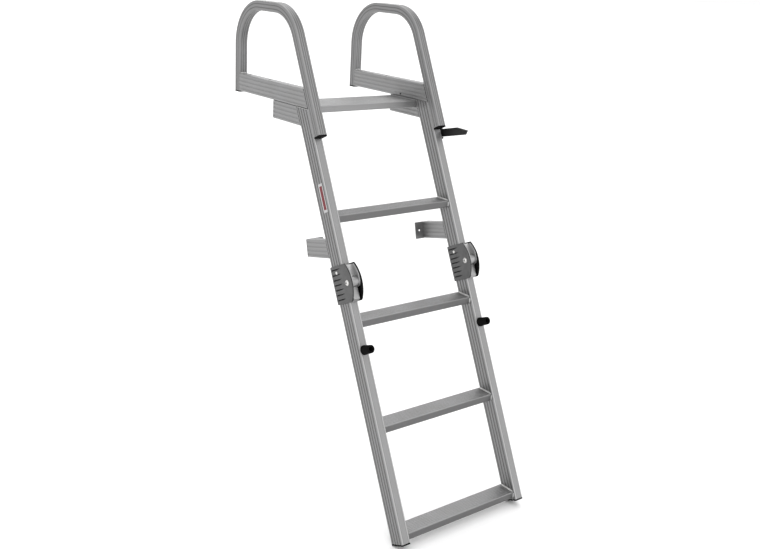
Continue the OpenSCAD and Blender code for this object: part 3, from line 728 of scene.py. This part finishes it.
def cover(name, node, s, side, material):
    """A moulded cover: rounded rim, sloping finger louvres, a sunk rivet seat and the pivot hole."""
    face = s * RAIL_X + side * RAIL_W / 2

    def at(x, y, z):
        return rail(face + side * x, y, z + PIVOT_Z)

    bm = bmesh.new()
    rim = 1.4 * MM
    layers = [(0.3 * MM, 0.0), (COVER_T - rim, 0.0)]
    layers += [(COVER_T - rim + rim * math.sin(a), rim * (1 - math.cos(a)))
               for a in (math.pi / 2 * k / 5 for k in range(1, 6))]
    rings = [[bm.verts.new(at(x, y, z)) for y, z in cover_outline(inset)] for x, inset in layers]
    for low, high in zip(rings, rings[1:]):
        for j in range(len(low)):
            n = (j + 1) % len(low)
            bm.faces.new((low[j], low[n], high[n], high[j]))
    bm.faces.new(rings[0])
    bm.faces.new(rings[-1])
    piece = finish_piece(name, bm, material, UPPER, (node,))
    cutters = []
    for k in range(LOUVRES):
        z = (k - (LOUVRES - 1) / 2) * LOUVRE_PITCH + 1.6 * MM
        if k == LOUVRES - 1:
            z += 1.0 * MM
        wedge = bmesh.new()
        proud = COVER_T + 1 * MM
        # at three places along a louvre: its depth in mm, and how far it slopes down
        for y, depth, drop in ((44, 3.2, 6.0), (20, 3.0, 5.5), (2, -0.2, 2.0)):
            for x, dz in ((proud, 0.6 * MM), (COVER_T - depth * MM, 0.2 * MM), (proud, -drop * MM)):
                wedge.verts.new(at(x, y * MM, z + dz))
        bmesh.ops.convex_hull(wedge, input=wedge.verts[:])
        cutters.append(wedge)
    x_dir = side * X
    cutters.append(drill(at(0, -PIVOT_OUT, 0), x_dir, 4.05 * MM, 20 * MM))
    cutters.append(drill(at(0, RIVET_Y, RIVET_Z), x_dir, 2.1 * MM, 20 * MM))
    cutters.append(drill(at(COVER_T + 3.7 * MM, RIVET_Y, RIVET_Z), x_dir, 5.0 * MM, 10 * MM))
    cut(piece, cutters)
    mod = piece.modifiers.new("edge", "BEVEL")
    mod.width, mod.segments, mod.limit_method = 0.25 * MM, 2, "ANGLE"
    mod.angle_limit = math.radians(35)
    return piece


# the covers that face right take the near-black copy: painted shade
cover("cover_shell_left_outer", "cover_left_outer", -1, -1, COVER_GREY)
cover("cover_shell_left_inner", "cover_left_inner", -1, 1, COVER_PAINTED_SHADE)
cover("cover_shell_right_inner", "cover_right_inner", 1, -1, COVER_GREY)
cover("cover_shell_right_outer", "cover_right_outer", 1, 1, COVER_PAINTED_SHADE)


# ---------------------------------------- pivot bolts
def pivot_bolt(bm, s):
    """A button-head bolt with a hexagon socket on a washer; its head is on the left of the hinge."""
    seat = s * RAIL_X - RAIL_W / 2 - COVER_T - GAP
    tip = s * RAIL_X + RAIL_W / 2 + COVER_T + GAP + 6 * MM
    # each ring's distance out from the seat, its radius in mm, and whether it is a hexagon of the socket
    rings = [(seat - tip, 3.3, False), (seat - tip + 0.7 * MM, 4.0, False), (0, 4.0, False)]
    washer = ((0, 7.3), (0.2, 7.6), (0.9, 7.6), (1.1, 7.3))
    dome = ((1.1, 6.4), (2.2, 6.3), (3.1, 5.7), (3.8, 4.8), (4.2, 4.0), (4.4, 3.6))
    rings += [(x * MM, r, False) for x, r in washer + dome]
    rings += [(4.4 * MM, 3.1, True), (4.1 * MM, 2.9, True), (1.8 * MM, 2.9, True), (1.2 * MM, 0.4, True)]
    flute = bm.verts.layers.float.get("flute") or bm.verts.layers.float.new("flute")
    count = 48
    made = []
    for x, radius, hexagon in rings:
        ring = []
        for k in range(count):
            a = 2 * math.pi * k / count
            r = radius * MM
            if hexagon:
                r *= math.cos(math.pi / 6) / math.cos(a % (math.pi / 3) - math.pi / 6)
            vert = bm.verts.new(rail(seat - x, -PIVOT_OUT + r * math.cos(a), PIVOT_Z + r * math.sin(a)))
            # the socket's walls and floor carry the mark for painted shade
            vert[flute] = 1.0 if hexagon and x < 4.2 * MM else 0.0
            ring.append(vert)
        made.append(ring)
    for low, high in zip(made, made[1:]):
        for j in range(count):
            n = (j + 1) % count
            bm.faces.new((low[j], low[n], high[n], high[j]))
    bm.faces.new(made[0])
    bm.faces.new(made[-1])


bolts = bmesh.new()
for s in (-1, 1):
    pivot_bolt(bolts, s)
finish_piece("pivot_bolts_button_head", bolts, STEEL, UPPER, ("pivot_bolts",), 40)


# ---------------------------------------- the CAD pieces that keep their shape
def dress(node, material, bevel=0.0):
    obj = NODES[node]
    obj.data.materials.clear()
    obj.data.materials.append(material)
    if bevel:
        weld = obj.modifiers.new("join", "WELD")
        weld.merge_threshold = 1e-6
        mod = obj.modifiers.new("edge", "BEVEL")
        mod.width, mod.segments, mod.limit_method = bevel, 2, "ANGLE"
        mod.angle_limit = math.radians(35)


for side, _ in SIDES:
    # the upper hinge's slot carries painted light
    dress("hinge_upper_" + side, CAST_SLOT, 0.3 * MM)
    dress("hinge_lower_" + side, CAST, 0.3 * MM)
    dress("standoff_plate_" + side, PLATE, 0.3 * MM)
    dress("bumper_" + side, RUBBER, 0.5 * MM)
dress("bracket_end_plates", PLATE, 0.3 * MM)
for node in ("handle_end_caps", "handle_foot_caps", "foot_caps"):
    dress(node, RUBBER, 0.3 * MM)
dress("latch_base", LATCH_BLACK, 0.3 * MM)
dress("latch_arm", LATCH_BLACK, 0.5 * MM)
for node in ("pivot_nuts", "cover_rivets", "bumper_screws", "latch_pin", "latch_screws"):
    dress(node, STEEL, 0.15 * MM)
label_lo, label_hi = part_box("label")
dress("label", foil_label("label_foil", (label_lo + label_hi) / 2, 32 * MM))


# ---------------------------------------- floor, light and camera
def floor():
    z = CAD_BOX[0].z - 0.5 * MM
    bm = bmesh.new()
    bmesh.ops.create_circle(bm, cap_ends=True, segments=96, radius=60,
                            matrix=Matrix.Translation((0, 0, z)))
    mesh = bpy.data.meshes.new("floor")
    bm.to_mesh(mesh)
    bm.free()
    obj = bpy.data.objects.new("floor", mesh)
    bpy.context.scene.collection.objects.link(obj)
    m = Mat("floor_pale")
    m.set(Base_Color=grey(0.9), Roughness=0.9)
    mesh.materials.append(m.mat)


def camera():
    """The photograph's viewpoint, found from the ladder's own lines."""
    at = Vector((-1.6153, -2.3944, 0.3834))
    look, up = Vector((0.58683, 0.74717, -0.31204)), Vector((0.15033, 0.27813, 0.94872))
    right = look.cross(up).normalized()
    up = right.cross(look).normalized()
    turn = Matrix((right, up, -look.normalized())).transposed().to_4x4()
    data = bpy.data.cameras.new("camera")
    data.lens, data.sensor_width = 45.29, 36.0
    data.clip_end = 200
    obj = bpy.data.objects.new("camera", data)
    obj.matrix_world = Matrix.Translation(at) @ turn
    bpy.context.scene.collection.objects.link(obj)
    bpy.context.scene.camera = obj


def sun(name, towards, strength, spread):
    """Soft sun that shines from the direction towards."""
    data = bpy.data.lights.new(name, "SUN")
    data.energy, data.angle = strength, math.radians(spread)
    obj = bpy.data.objects.new(name, data)
    obj.rotation_euler = Vector(towards).to_track_quat("Z", "Y").to_euler()
    bpy.context.scene.collection.objects.link(obj)


floor()
world = bpy.data.worlds.new("studio")
world.use_nodes = True
world.node_tree.nodes["Background"].inputs[0].default_value = (1, 1, 1, 1)
world.node_tree.nodes["Background"].inputs[1].default_value = 1.0
bpy.context.scene.world = world
sun("key", (-0.35, -0.55, 0.75), 0.7, 50)
sun("top", (0.3, 0.6, 0.8), 1.1, 60)
sun("front", (0.55, -0.8, 0.12), 0.8, 70)
camera()
bpy.context.scene.view_settings.view_transform = "Standard"
